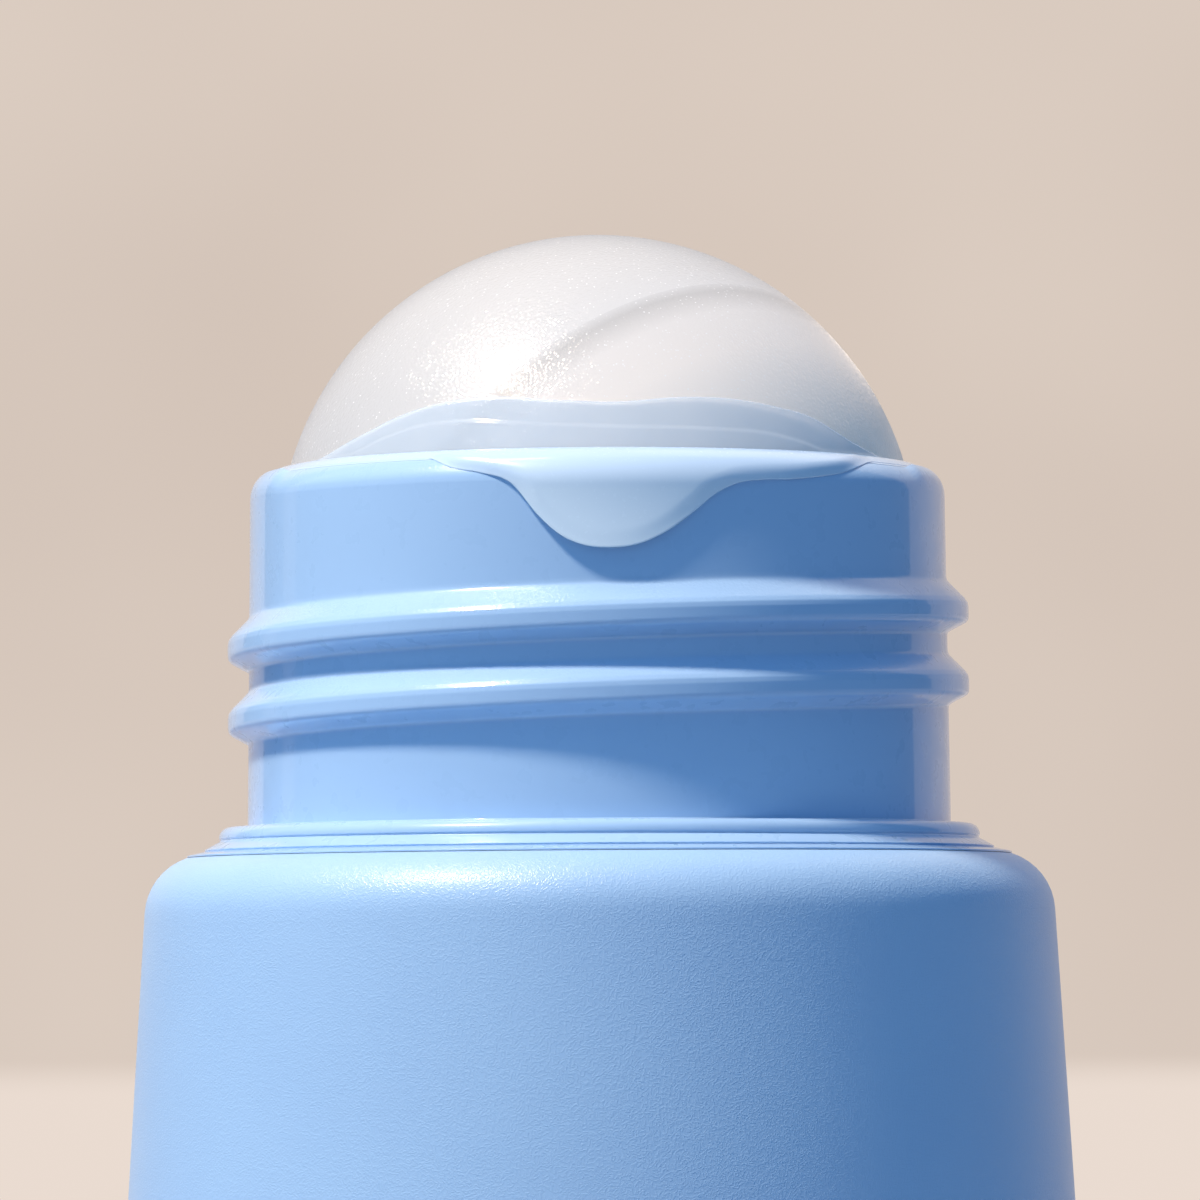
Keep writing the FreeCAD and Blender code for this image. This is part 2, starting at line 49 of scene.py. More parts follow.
# Steps of the meshes
AROUND = 288
PLAIN_STEP = 0.6
NECK_STEP = 0.06
FILLET_TURN = math.radians(9)
SHARP_ANGLE = math.radians(38)

# Camera, worked out from the photograph's ellipses
IMAGE_SIZE = 1200
FOCAL_PIXELS = 7220
SENSOR = 36.0
CAMERA_DISTANCE = 0.400
EYE_HEIGHT = 0.05226
HORIZON_BELOW_MIDDLE = 360
CAMERA_ROLL = math.radians(-0.35)
CAMERA_SIDE = 0.00011

# Light and background
KEY_DIRECTION = Vector((-0.467, -0.275, 0.841))
KEY_DISTANCE = 0.9
KEY_SIZE = (0.12, 0.12)
KEY_LEVEL = 1.34
KEY_COLOUR = (1.0, 0.85, 0.69)
TOP_DIRECTION = Vector((-0.35, -0.04, 0.935))
TOP_DISTANCE = 0.9
TOP_SIZE = (0.14, 0.42)
TOP_LEVEL = 0.1
TOP_COLOUR = (1.0, 0.9, 0.8)
BACK_DIRECTION = Vector((0.40, 0.45, 0.80))
BACK_DISTANCE = 1.2
BACK_SIZE = (0.9, 0.9)
BACK_LEVEL = 0.05
BACK_COLOUR = (1.0, 0.87, 0.78)
AMBIENT_LEFT = (0.265, 0.515, 0.83, 1.0)
AMBIENT_RIGHT = (0.08, 0.185, 0.345, 1.0)
BACKDROP_LIGHT = (0.725, 0.622, 0.546, 1.0)
BACKDROP_DARK = (0.650, 0.549, 0.481, 1.0)
ROOM_DARK = (0.10, 0.11, 0.13, 1.0)
# How bright the room is mirrored, by the angle to the right from straight behind the bottle
ROOM_STRIPS = ((-180, 0.0), (-62, 0.55), (-54.4, 0.0), (-37, 1.0), (54.7, 0.0))
FLOOR_COLOUR = (0.82, 0.71, 0.635, 1.0)
FLOOR_LIT = (0.60, 0.52, 0.465, 1.0)
FLOOR_BOUNCE = (0.16, 0.24, 0.33, 1.0)
FLOOR_RADIUS = 3.6
FLOOR_CORNERS = 128
FLOOR_FADE = 1.2
FLOOR_NEAR = 0.25
FLOOR_FAR = 0.9


def top_of(node):
    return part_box(node)[1].z / MM


def bottom_of(node):
    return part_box(node)[0].z / MM


def reach_of(node):
    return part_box(node)[1].x / MM


# Tapered jacket
FOOT_RADIUS = reach_of("outer_jacket")
JACKET_TOP = top_of("outer_jacket")
JACKET_WALL = 1.7
FOOT_ROUND = 1.0
SHOULDER_RADIUS = 24.966
SHOULDER_ROUND = 3.4
SHOULDER_CENTRE = (21.758, 54.7725)
SHOULDER_LOW = math.radians(3.5)
SHOULDER_HIGH = math.radians(71.6)
MOUTH_RADIUS = 22.0
MOUTH_DEPTH = 1.6
MOUTH_LAND = 0.8
JACKET_EDGE = 0.12

# Inner bottle: the body, then the collar, then the neck
BOTTLE_FLOOR = bottom_of("inner_bottle")
BOTTLE_WALL = 1.2
BOTTLE_FOOT = 21.0
BOTTLE_FOOT_ROUND = 2.5
BOTTLE_TOP = 21.9
WIDENING = 56.2
WIDENING_ROUND = 1.5
FLANGE_RADIUS = reach_of("inner_bottle")
FLANGE_GAP = 0.03
FLANGE_EDGE = 0.1
CONE_RADIUS = 21.85
CONE_HEIGHT = 58.43
CONE_EDGE = 0.04
CONE_GROOVE_DOWN = 0.12
CONE_GROOVE_UP = 0.1
CONE_GROOVE_OUT = 0.1
CONE_GROOVE_IN = 0.05
BEAD_RADIUS = 21.04
BEAD_LOW = 58.95
BEAD_HIGH = 59.69
BEAD_ROUND = 0.62
BEAD_GROOVE_DOWN = 0.08
BEAD_GROOVE_UP = 0.1
BEAD_GROOVE_IN = 0.06
BEAD_GROOVE_ROUND = 0.1
BEAD_EDGE = 0.08
NECK_ROOT = 19.45
NECK_TOP = 19.25
NECK_FOOT_ROUND = 0.1
NECK_WALL_LEAST = 0.3
NECK_CLEAR = 0.05
RIM_HEIGHT = 79.45
RIM_ROUND = 1.6
RIM_EDGE = 0.06
NOTCH_DEPTH = 0.25
NOTCH_START = math.radians(64)
NOTCH_END = math.radians(68)
BORE = 18.55
LEDGE = 64.0
LEDGE_ROUND = 0.1
THROAT = 17.6
THROAT_HEIGHT = 59.5
THROAT_EDGE = 0.15
THROAT_ROUND = 1.0

# Cap thread: radius of the profile at heights from the middle of its crest
THREAD_PITCH = 4.03
THREAD_TURNS = 2
THREAD_START = 64.53
THREAD_PROFILE = ((-1.48, 19.0), (-0.83, 20.26), (-0.74, 20.41), (-0.6, 20.5), (-0.45, 20.53),
                  (0.1, 20.53), (0.36, 20.48), (0.6, 20.32), (1.9, 19.0))
THREAD_FILLET = 0.12
THREAD_RUN_OUT = 0.05
RUN_OUT_ANGLE = 1.2

# Grain on the thread's upper flanks: how far a face looks up, and the strength there
FLANK_RISE = (0.35, 0.6)
FLANK_GRAIN = 0.7

# Ball, welded from two halves on a slanting seam
BALL_HEIGHT = 74.7
BALL_RADIUS = top_of("ball_upper_half") - BALL_HEIGHT
BALL_WALL = 1.4
WELD_STEP = 0.9
BALL_ROWS = 72
BALL_AROUND = 192
FROST_PER_MM = 5.5
# Tiny white specks painted into the ball's colour as glints
PAINTED_GLINTS_PER_MM = 4.2
PAINTED_GLINT_COLOUR = (0.97, 0.96, 0.95, 1.0)
SHEEN_COLOUR = (1.0, 0.92, 0.86, 1.0)
BALL_POLE = Vector((-0.5965, 0.5466, 0.5878))

# Wiper seal: angles from the front in degrees, heights in millimetres
SEAL_INSIDE = 17.87
SEAL_THIN = 0.13
SEAL_THICK = 0.19
SEAL_FOOT = bottom_of("wiper_seal")
SEAL_SHELF = 77.7
SEAL_TOP_EDGE = ((-64, 79.5), (-50, 80.53), (-38, 81.7), (-30, 82.17), (-21, 82.36), (-6, 82.07),
                 (3, 81.98), (17, 82.27), (27, 82.22), (36, 81.88), (43, 81.5), (54, 80.2), (66, 79.5))
SEAL_STEP_LINE = ((-52, 79.5), (-43, 80.22), (-36, 80.76), (-26, 81.02), (-12, 80.76),
                  (3, 80.57), (23, 80.47), (32, 80.33), (39, 79.98), (46, 79.5))
SEAL_ROWS = 70
SEAL_AROUND = 480
SEAL_CROWDING = 0.7
SEAL_STEP_BLEND = 0.15
SEAL_EDGE_ROUND = 0.2

# Retaining lip with its tongue: angles from the front in degrees, heights of the lower edge
LIP_INSIDE = 18.2
LIP_GAP = 0.022
LIP_CROWN = 79.47
LIP_CROWN_RADIUS = 17.6
LIP_ROUND = 2.08
LIP_EDGE = 79.25
LIP_RING = 18.5
LIP_FLARE = 0.022
# Height below the crown over which its painted shade fades into the paler blue
LIP_CROWN_SHADE_DEPTH = 3.0
TONGUE_BEVEL = 1.1
TONGUE_EDGE_SHARE = ((-40, 0.04), (-30, 0.04), (-18, 0.2), (-9, 0.75),
                     (11, 0.8), (20, 0.65), (32, 0.45), (45, 0.1))
TONGUE_EDGE_ROUND = 0.12
EDGE_ROWS = (0, 0.008, 0.025, 0.05, 0.085, 0.12, 0.2, 0.32, 0.48, 0.65, 0.82, 1.0, 1.1, 1.2)
TONGUE_EDGE = ((-30, 79.25), (-23.5, 78.4), (-18.5, 77.98), (-13.6, 77.29), (-9.4, 75.65), (-5.9, 74.6),
               (-2.6, 74.07), (1.8, 73.88), (6.2, 74.05), (10.6, 74.7), (15.2, 75.78), (18.9, 76.76),
               (22.3, 77.29), (27.2, 77.55), (31.9, 77.62), (41.8, 78.1), (55, 79.25))
LIP_ROWS = 36
LIP_RING_ROWS = 9
LIP_RING_DROP = 0.3
LIP_INNER_DROP = 0.03
LIP_FRONT_SPAN = 70
LIP_FRONT_STEPS = 560
LIP_BACK_STEPS = 120

# Colours of the pieces, each a pair that a soft pattern runs between
SHELL_BLUES = ((0.415, 0.625, 0.905), (0.435, 0.65, 0.925))
NECK_BLUES = ((0.415, 0.625, 0.905), (0.435, 0.645, 0.925))
# The lip's pair runs by height instead: its own paler blue, with the crown painted darker as painted
# shade against the strong light on its upward face
LIP_BLUES_AND_CROWN_SHADE = ((0.71, 0.86, 1.0), (0.56, 0.74, 0.98))
SEAL_BLUES = ((0.74, 0.85, 0.97), (0.78, 0.88, 0.99))
SOCKET_BLUES = ((0.53, 0.70, 0.90), (0.57, 0.74, 0.94))
RUBBER_GREYS = ((0.72, 0.77, 0.83), (0.78, 0.83, 0.89))

# Colours of the ball's halves at distances from the weld seam: a pearly white that is partly painted
# light. The upper half is painted lighter next to the seam as a painted highlight. The lower half has a
# grey band of painted shade next to the seam, and further off it is painted a warm beige as painted light
# shining through the ball.
UPPER_PEARL_AND_PAINTED_LIGHT = ((0, (0.69, 0.68, 0.675)), (2, (0.65, 0.64, 0.635)), (7, (0.61, 0.60, 0.595)))
LOWER_PEARL_AND_PAINTED_LIGHT = ((-10, (0.99, 0.92, 0.85)), (-5, (0.93, 0.86, 0.80)), (-2.4, (0.80, 0.76, 0.73)),
               (-0.7, (0.55, 0.535, 0.525)), (0, (0.65, 0.64, 0.635)))


def smooth_curve(knots, places):
    """Values of a smooth curve through knots, level beyond its two ends."""
    x = np.array([knot[0] for knot in knots], float)
    y = np.array([knot[1] for knot in knots], float)
    slopes = np.gradient(y, x)
    slopes[0] = 0
    slopes[-1] = 0
    at = np.clip(places, x[0], x[-1])
    span = np.clip(np.searchsorted(x, at, side="right") - 1, 0, len(x) - 2)
    width = x[span + 1] - x[span]
    share = (at - x[span]) / width
    rise = y[span + 1] - y[span]
    first = slopes[span] * width
    last = slopes[span + 1] * width
    bend = 3 * rise - 2 * first - last
    twist = first + last - 2 * rise
    return y[span] + share * (first + share * (bend + share * twist))


def smooth_max(first, second, blend):
    return (first + second + np.sqrt((first - second) ** 2 + blend**2)) / 2


def smooth_step(values, low, high):
    share = np.clip((values - low) / (high - low), 0, 1)
    return share * share * (3 - 2 * share)


def arc(centre, radius, first, last):
    """Points of an arc, by its angles in radians."""
    count = max(3, math.ceil(abs(last - first) / FILLET_TURN))
    angles = np.linspace(first, last, count + 1)
    return [(centre[0] + radius * math.cos(a), centre[1] + radius * math.sin(a)) for a in angles]


def round_corner(before, corner, after, radius):
    """Arc that rounds off a corner between two straight runs."""
    here = Vector(corner)
    back = (Vector(before) - here).normalized()
    on = (Vector(after) - here).normalized()
    half = back.angle(on) / 2
    centre = here + (back + on).normalized() * (radius / math.sin(half))
    start = here + back * (radius / math.tan(half)) - centre
    turn = start.angle_signed(here + on * (radius / math.tan(half)) - centre)
    first = math.atan2(start.y, start.x)
    return arc(centre, radius, first, first - turn)


def divide(points, step):
    """Points along a chain of straight runs, no further apart than a step."""
    result = []
    for start, end in zip(points, points[1:]):
        parts = max(1, math.ceil(math.dist(start, end) / step))
        result += [tuple(np.add(start, np.subtract(end, start) * i / parts)) for i in range(parts)]
    return result + [points[-1]]


def section(corners, step=PLAIN_STEP):
    """Closed half section. A corner's third number is the radius that rounds it off."""
    points = []
    for number, corner in enumerate(corners):
        if len(corner) == 2:
            points.append(corner)
            continue
        before = corners[number - 1][:2]
        after = corners[(number + 1) % len(corners)][:2]
        points += round_corner(before, corner[:2], after, corner[2])
    return divide(points + points[:1], step)[:-1]


def skin(name, rings):
    """Closed mesh over rings of points that wrap round both ways."""
    count, around = rings.shape[:2]
    index = np.arange(count * around).reshape(count, around)
    beside = np.roll(index, -1, axis=1)
    above = np.roll(index, -1, axis=0)
    corner = np.roll(beside, -1, axis=0)
    faces = np.stack([index, beside, corner, above], axis=-1).reshape(-1, 4)
    mesh = bpy.data.meshes.new(name)
    mesh.from_pydata((rings.reshape(-1, 3) * MM).tolist(), [], faces.tolist())
    return finish_mesh(name, mesh)


def finish_mesh(name, mesh):
    """Merge doubled points, turn the faces outward and shade all but the sharp edges smooth."""
    build = bmesh.new()
    build.from_mesh(mesh)
    bmesh.ops.remove_doubles(build, verts=build.verts, dist=1e-7)
    bmesh.ops.recalc_face_normals(build, faces=build.faces)
    build.to_mesh(mesh)
    build.free()
    mesh.shade_smooth()
    mesh.set_sharp_from_angle(angle=SHARP_ANGLE)
    piece = bpy.data.objects.new(name, mesh)
    bpy.context.scene.collection.objects.link(piece)
    return piece


def turned(radii, heights, angles):
    """Points at radii and heights; an angle of 0 is the front, and it grows to the right."""
    x = radii * np.sin(angles)
    y = -radii * np.cos(angles)
    return np.stack(np.broadcast_arrays(x, y, heights), axis=-1)


def all_round(count=AROUND):
    return np.linspace(-math.pi, math.pi, count, endpoint=False)


def lathe(name, points):
    profile = np.array(points)
    return skin(name, turned(profile[:, :1], profile[:, 1:], all_round()[None, :]))


def put(piece, body, slot, material, *nodes):
    """Hang a finished piece on its body, in place of its solids."""
    piece.data.materials.append(material)
    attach(piece, body)
    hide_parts(*nodes)


def make_jacket(material):
    inside_foot = FOOT_RADIUS - JACKET_WALL
    inside_top = SHOULDER_RADIUS - JACKET_WALL
    piece = lathe("outer_jacket_skin", section([
        (inside_foot, 0, JACKET_EDGE),
        (FOOT_RADIUS, 0, FOOT_ROUND),
        *arc(SHOULDER_CENTRE, SHOULDER_ROUND, SHOULDER_LOW, SHOULDER_HIGH),
        (MOUTH_RADIUS + MOUTH_LAND, JACKET_TOP),
        (MOUTH_RADIUS, JACKET_TOP, JACKET_EDGE),
        (MOUTH_RADIUS, JACKET_TOP - MOUTH_DEPTH, JACKET_EDGE),
        (inside_top, JACKET_TOP - 2 * MOUTH_DEPTH),
    ]))
    put(piece, "container", "grained_shell", material, "outer_jacket")


def thread_radius(angles, heights):
    """Radius of the thread's surface at an angle from the front and a height."""
    profile_heights = [point[0] for point in THREAD_PROFILE]
    profile_radii = [point[1] for point in THREAD_PROFILE]
    climbed = (angles + math.pi) / (2 * math.pi)
    from_back = np.minimum(angles + math.pi, math.pi - angles)
    flat = (NECK_ROOT + NECK_TOP) / 2 - THREAD_RUN_OUT
    result = np.full(np.broadcast(angles, heights).shape, THREAD_PROFILE[0][1])
    for turn in range(THREAD_TURNS):
        middle = THREAD_START + THREAD_PITCH * (turn + climbed)
        radius = np.interp(heights - middle, profile_heights, profile_radii)
        at_start = (turn == 0) & (angles < 0)
        at_end = (turn == THREAD_TURNS - 1) & (angles > 0)
        run_out = flat / np.cos(np.clip(from_back, 0, RUN_OUT_ANGLE))
        radius = np.where(at_start | at_end, np.minimum(radius, run_out), radius)
        result = np.maximum(result, radius)
    return result


def make_bottle(material):
    flange_low = JACKET_TOP + FLANGE_GAP
    rim_start = RIM_HEIGHT - RIM_ROUND
    rim_centre = (NECK_TOP - RIM_ROUND, rim_start)
    bore_angle = math.acos((BORE - rim_centre[0]) / RIM_ROUND)
    bore_top = rim_start + RIM_ROUND * math.sin(bore_angle)
    lower = section([
        (0, BOTTLE_FLOOR + BOTTLE_WALL),
        (0, BOTTLE_FLOOR),
        (BOTTLE_FOOT, BOTTLE_FLOOR, BOTTLE_FOOT_ROUND),
        (BOTTLE_TOP, WIDENING),
        (BOTTLE_TOP, flange_low),
        (FLANGE_RADIUS, flange_low),
        (FLANGE_RADIUS, flange_low + FLANGE_EDGE, FLANGE_EDGE / 2),
        (CONE_RADIUS + CONE_GROOVE_OUT, CONE_HEIGHT - CONE_GROOVE_DOWN),
        (CONE_RADIUS - CONE_GROOVE_IN, CONE_HEIGHT - CONE_GROOVE_UP),
        (CONE_RADIUS, CONE_HEIGHT, CONE_EDGE),
        (BEAD_RADIUS, BEAD_LOW - BEAD_GROOVE_DOWN, BEAD_GROOVE_ROUND),
        (BEAD_RADIUS - BEAD_GROOVE_IN, BEAD_LOW),
        (BEAD_RADIUS, BEAD_LOW + BEAD_GROOVE_UP, BEAD_EDGE),
        (BEAD_RADIUS, BEAD_HIGH, BEAD_ROUND),
        (NECK_ROOT, BEAD_HIGH, NECK_FOOT_ROUND),
        (NECK_TOP, rim_start),
        (BORE, bore_top, RIM_EDGE),
        (BORE, LEDGE, LEDGE_ROUND),
        (THROAT, LEDGE, THROAT_EDGE),
        (THROAT, THROAT_HEIGHT, THROAT_ROUND),
        (BOTTLE_TOP - BOTTLE_WALL, WIDENING, WIDENING_ROUND),
        (BOTTLE_FOOT - BOTTLE_WALL, BOTTLE_FLOOR + BOTTLE_WALL, BOTTLE_FOOT_ROUND - BOTTLE_WALL),
    ])
    neck_foot = BEAD_HIGH + NECK_CLEAR
    least = BORE + NECK_WALL_LEAST
    profile = []
    for start, end in zip(lower, lower[1:] + lower[:1]):
        on_neck = start[0] > least and neck_foot < start[1] <= rim_start and end[0] > least
        if start == (NECK_TOP, rim_start):
            profile += arc(rim_centre, RIM_ROUND, 0, bore_angle)
            continue
        profile += divide([start, end], NECK_STEP if on_neck else PLAIN_STEP)[:-1]
    profile = np.array(profile)
    angles = all_round()[None, :]
    radii = profile[:, :1]
    heights = profile[:, 1:]
    threaded = smooth_max(radii, thread_radius(angles, heights), THREAD_FILLET)
    lift = smooth_max(np.float64(NECK_ROOT), np.float64(THREAD_PROFILE[0][1]), THREAD_FILLET) - NECK_ROOT
    outside = (radii > NECK_TOP - 0.01) & (heights > neck_foot) & (heights < rim_start)
    radii = np.where(outside, np.maximum(threaded - lift, radii), radii)
    at_front = 1 - smooth_step(np.abs(angles), NOTCH_START, NOTCH_END)
    on_rim = (radii > BORE - 0.01) * np.clip((heights - rim_start) / RIM_ROUND + 0.5, 0, 1)
    heights = heights - NOTCH_DEPTH * at_front * on_rim
    piece = skin("inner_bottle_skin", turned(radii, heights, angles))
    put(piece, "container", "gloss_neck", material, "inner_bottle")


def lip_station(distance):
    """Outer and inner point of the lip at a distance along its outer face from the crown."""
    angle = math.pi / 2 - np.clip(distance / LIP_ROUND, 0, math.pi / 2)
    drop = np.maximum(distance - LIP_ROUND * math.pi / 2, 0)
    flare = LIP_FLARE * drop**2
    outer_r = LIP_CROWN_RADIUS + LIP_ROUND * np.cos(angle) + flare
    outer_z = LIP_CROWN - LIP_ROUND + LIP_ROUND * np.sin(angle) - drop
    under = RIM_ROUND + LIP_GAP
    inner_r = NECK_TOP - RIM_ROUND + under * np.cos(angle) + flare
    inner_z = RIM_HEIGHT - RIM_ROUND - NOTCH_DEPTH + under * np.sin(angle) - drop
    return outer_r, outer_z, inner_r, inner_z


def lip_reach(heights):
    """Distance along the lip's outer face from the crown down to a height."""
    sine = np.clip((heights - LIP_CROWN + LIP_ROUND) / LIP_ROUND, 0, 1)
    drop = np.maximum(LIP_CROWN - LIP_ROUND - heights, 0)
    return LIP_ROUND * (math.pi / 2 - np.arcsin(sine)) + drop


def lip_fullness(inset, at_edge):
    """Share of the lip's thickness at a distance in from its edge: a bevel with a rounded end."""
    bevel = at_edge + (1 - at_edge) * smooth_step(inset, 0, TONGUE_BEVEL)
    rounding = np.sqrt(1 - (1 - np.clip(inset / TONGUE_EDGE_ROUND, 0, 1)) ** 2)
    return bevel * rounding


def make_lip(material):
    front = np.linspace(-LIP_FRONT_SPAN, LIP_FRONT_SPAN, LIP_FRONT_STEPS, endpoint=False)
    back = np.linspace(LIP_FRONT_SPAN, 360 - LIP_FRONT_SPAN, LIP_BACK_STEPS, endpoint=False)
    angles = np.radians(np.concatenate([front, back]))
    degrees = np.degrees(angles)
    degrees = np.where(degrees > 180, degrees - 360, degrees)
    edge = smooth_curve(TONGUE_EDGE, degrees)
    reach = lip_reach(edge)
    facing = 1 / np.sqrt(1 + np.gradient(edge, angles * NECK_TOP) ** 2)
    insets = np.array(EDGE_ROWS)[:, None] * np.minimum(1, reach * 0.5 / EDGE_ROWS[-1]) / facing
    insets = np.minimum(insets, reach * 0.8)
    plain = np.linspace(0, 1, LIP_ROWS, endpoint=False)[:, None] * (reach - insets[-1])
    distances = np.concatenate([plain, (reach - insets)[::-1]])
    outer_r, outer_z, inner_r, inner_z = lip_station(distances)
    full = lip_fullness((reach - distances) * facing, smooth_curve(TONGUE_EDGE_SHARE, degrees))
    outer = turned(inner_r + (outer_r - inner_r) * full, inner_z + (outer_z - inner_z) * full, angles)
    ring_at = lip_reach(np.float64(LIP_EDGE))
    under = ring_at + np.linspace(1, 0, LIP_ROWS)[:, None] * np.maximum(reach - ring_at, 0)
    _, _, under_r, under_z = lip_station(under)
    inner = turned(under_r, under_z, angles)
    heights = np.linspace(SEAL_SHELF, LIP_CROWN - LIP_INNER_DROP, LIP_RING_ROWS)
    ring_r = [LIP_RING, LIP_RING] + [math.sqrt(LIP_INSIDE**2 - (z - BALL_HEIGHT) ** 2) for z in heights]
    ring_z = [LIP_EDGE - LIP_RING_DROP, SEAL_SHELF, *heights]
    ring = turned(np.array(ring_r)[:, None], np.array(ring_z)[:, None], angles)
    piece = skin("retaining_lip_skin", np.concatenate([outer, inner, ring]))
    put(piece, "roller_head", "gloss_lip", material, "retaining_lip")


def make_seal(material):
    angles = all_round(SEAL_AROUND)
    degrees = np.degrees(angles)
    edge = smooth_curve(SEAL_TOP_EDGE, degrees)
    line = smooth_curve(SEAL_STEP_LINE, degrees)
    top = np.arcsin((edge - BALL_HEIGHT) / SEAL_INSIDE)
    line_at = np.arcsin((line - BALL_HEIGHT) / SEAL_INSIDE)
    low = math.asin((SEAL_SHELF - BALL_HEIGHT) / SEAL_INSIDE)
    inner = []
    outer = []
    for share in np.linspace(0, 1, SEAL_ROWS) ** SEAL_CROWDING:
        tilt = low + share * (top - low)
        inner.append(turned(SEAL_INSIDE * np.cos(tilt), BALL_HEIGHT + SEAL_INSIDE * np.sin(tilt), angles))
        below_line = smooth_step((line_at - tilt) * SEAL_INSIDE, -SEAL_STEP_BLEND, SEAL_STEP_BLEND)
        from_edge = np.clip((top - tilt) * SEAL_INSIDE / SEAL_EDGE_ROUND, 0, 1)
        thick = SEAL_THIN + (SEAL_THICK - SEAL_THIN) * below_line
        radius = SEAL_INSIDE + thick * np.sqrt(1 - (1 - from_edge) ** 2)
        outer.append(turned(radius * np.cos(tilt), BALL_HEIGHT + radius * np.sin(tilt), angles))
    foot_radius = math.sqrt(SEAL_INSIDE**2 - (SEAL_FOOT - BALL_HEIGHT) ** 2)
    flat = np.ones(angles.shape)
    foot = [turned(flat * LIP_RING, SEAL_SHELF, angles), turned(flat * LIP_RING, SEAL_FOOT, angles),
            turned(flat * foot_radius, SEAL_FOOT, angles)]
    piece = skin("wiper_seal_skin", np.array(inner + outer[::-1] + foot))
    put(piece, "roller_head", "clear_seal", material, "wiper_seal")


def make_ball_half(name, sign, material, node):
    """Half shell about the ball's pole, with a stepped weld edge."""
    inside = BALL_RADIUS - BALL_WALL
    step = BALL_RADIUS - BALL_WALL / 2
    outer = np.linspace(0, math.pi / 2, BALL_ROWS)
    profile = [(BALL_RADIUS * math.cos(a), sign * BALL_RADIUS * math.sin(a)) for a in outer]
    profile += [(inside * math.cos(a), sign * inside * math.sin(a)) for a in outer[::-1]]
    weld_inside = inside
    if sign < 0:
        weld_inside = inside * math.cos(math.asin(WELD_STEP / inside))
    profile += [(weld_inside, -WELD_STEP), (step, -WELD_STEP), (step, 0)]
    profile = np.array(profile)
    points = turned(profile[:, :1], profile[:, 1:], all_round(BALL_AROUND)[None, :])
    tilt = np.array(BALL_POLE.to_track_quat("Z", "Y").to_matrix())
    points = points @ tilt.T + np.array([0, 0, BALL_HEIGHT])
    piece = skin(name, points)
    put(piece, "ball", "frosted_ball", material, node)


def add_node(tree, kind, settings=None, inputs=None):
    node = tree.nodes.new(kind)
    for name, value in (settings or {}).items():
        setattr(node, name, value)
    for name, value in (inputs or {}).items():
        if isinstance(value, bpy.types.NodeSocket):
            tree.links.new(value, node.inputs[name])
        else:
            node.inputs[name].default_value = value
    return node


def new_material(name):
    """Material with its surface shader and a point in millimetres for the textures."""
    material = bpy.data.materials.new(name)
    material.use_nodes = True
    tree = material.node_tree
    shader = tree.nodes["Principled BSDF"]
    place = add_node(tree, "ShaderNodeTexCoord")
    point = add_node(tree, "ShaderNodeVectorMath", {"operation": "SCALE"},
                     {0: place.outputs["Object"], "Scale": 1 / MM})
    return material, tree, shader, point.outputs[0]


def set_inputs(shader, **values):
    for name, value in values.items():
        shader.inputs[name.replace("_", " ")].default_value = value


def noise(tree, point, per_mm, detail=3.0, roughness=0.5):
    return add_node(tree, "ShaderNodeTexNoise", None, {
        "Vector": point, "Scale": per_mm, "Detail": detail, "Roughness": roughness}).outputs["Fac"]


def ramp(tree, factor, *stops, kind="LINEAR"):
    """Colour or level by factor, from pairs of a place and a colour."""
    node = add_node(tree, "ShaderNodeValToRGB", None, {"Fac": factor})
    node.color_ramp.interpolation = kind
    elements = node.color_ramp.elements
    while len(elements) < len(stops):
        elements.new(0.5)
    for element, (place, colour) in zip(elements, stops):
        element.position = place
        element.color = colour if len(colour) == 4 else (*colour, 1.0)
    return node.outputs["Color"]


def grey(level):
    return (level, level, level)


def bump(tree, height, strength, distance):
    return add_node(tree, "ShaderNodeBump", None, {
        "Height": height, "Strength": strength, "Distance": distance * MM}).outputs["Normal"]


def compute(tree, operation, *values):
    """Result of a sum on numbers or sockets."""
    return add_node(tree, "ShaderNodeMath", {"operation": operation}, dict(enumerate(values))).outputs[0]


def spread(tree, value, low, high, most=1.0, kind="LINEAR"):
    """Value brought from between low and high to between 0 and most."""
    return add_node(tree, "ShaderNodeMapRange", {"interpolation_type": kind}, {
        "Value": value, "From Min": low, "From Max": high, "To Max": most}).outputs["Result"]


def parts_of(tree, vector):
    return add_node(tree, "ShaderNodeSeparateXYZ", None, {0: vector}).outputs


def link(tree, socket, shader, name):
    tree.links.new(socket, shader.inputs[name])


def grained_shell_material():
    """Satin blue plastic with a fine leather-like grain."""
    material, tree, shader, point = new_material("grained_blue_shell")
    worms = noise(tree, point, 5.0, 1.0, 0.4)
    ridges = ramp(tree, worms, (0.40, grey(0.0)), (0.5, grey(1.0)), (0.60, grey(0.0)))
    fine = noise(tree, point, 9.0, 3.0, 0.6)
    broad = noise(tree, point, 0.09, 2.0)
    colour = ramp(tree, broad, (0.3, SHELL_BLUES[0]), (0.7, SHELL_BLUES[1]))
    grain = compute(tree, "MULTIPLY_ADD", fine, 0.6, ridges)
    link(tree, colour, shader, "Base Color")
    link(tree, ramp(tree, fine, (0.3, grey(0.28)), (0.7, grey(0.38))), shader, "Roughness")
    link(tree, bump(tree, grain, 0.4, 0.022), shader, "Normal")
    set_inputs(shader, Specular_IOR_Level=0.45)
    return material


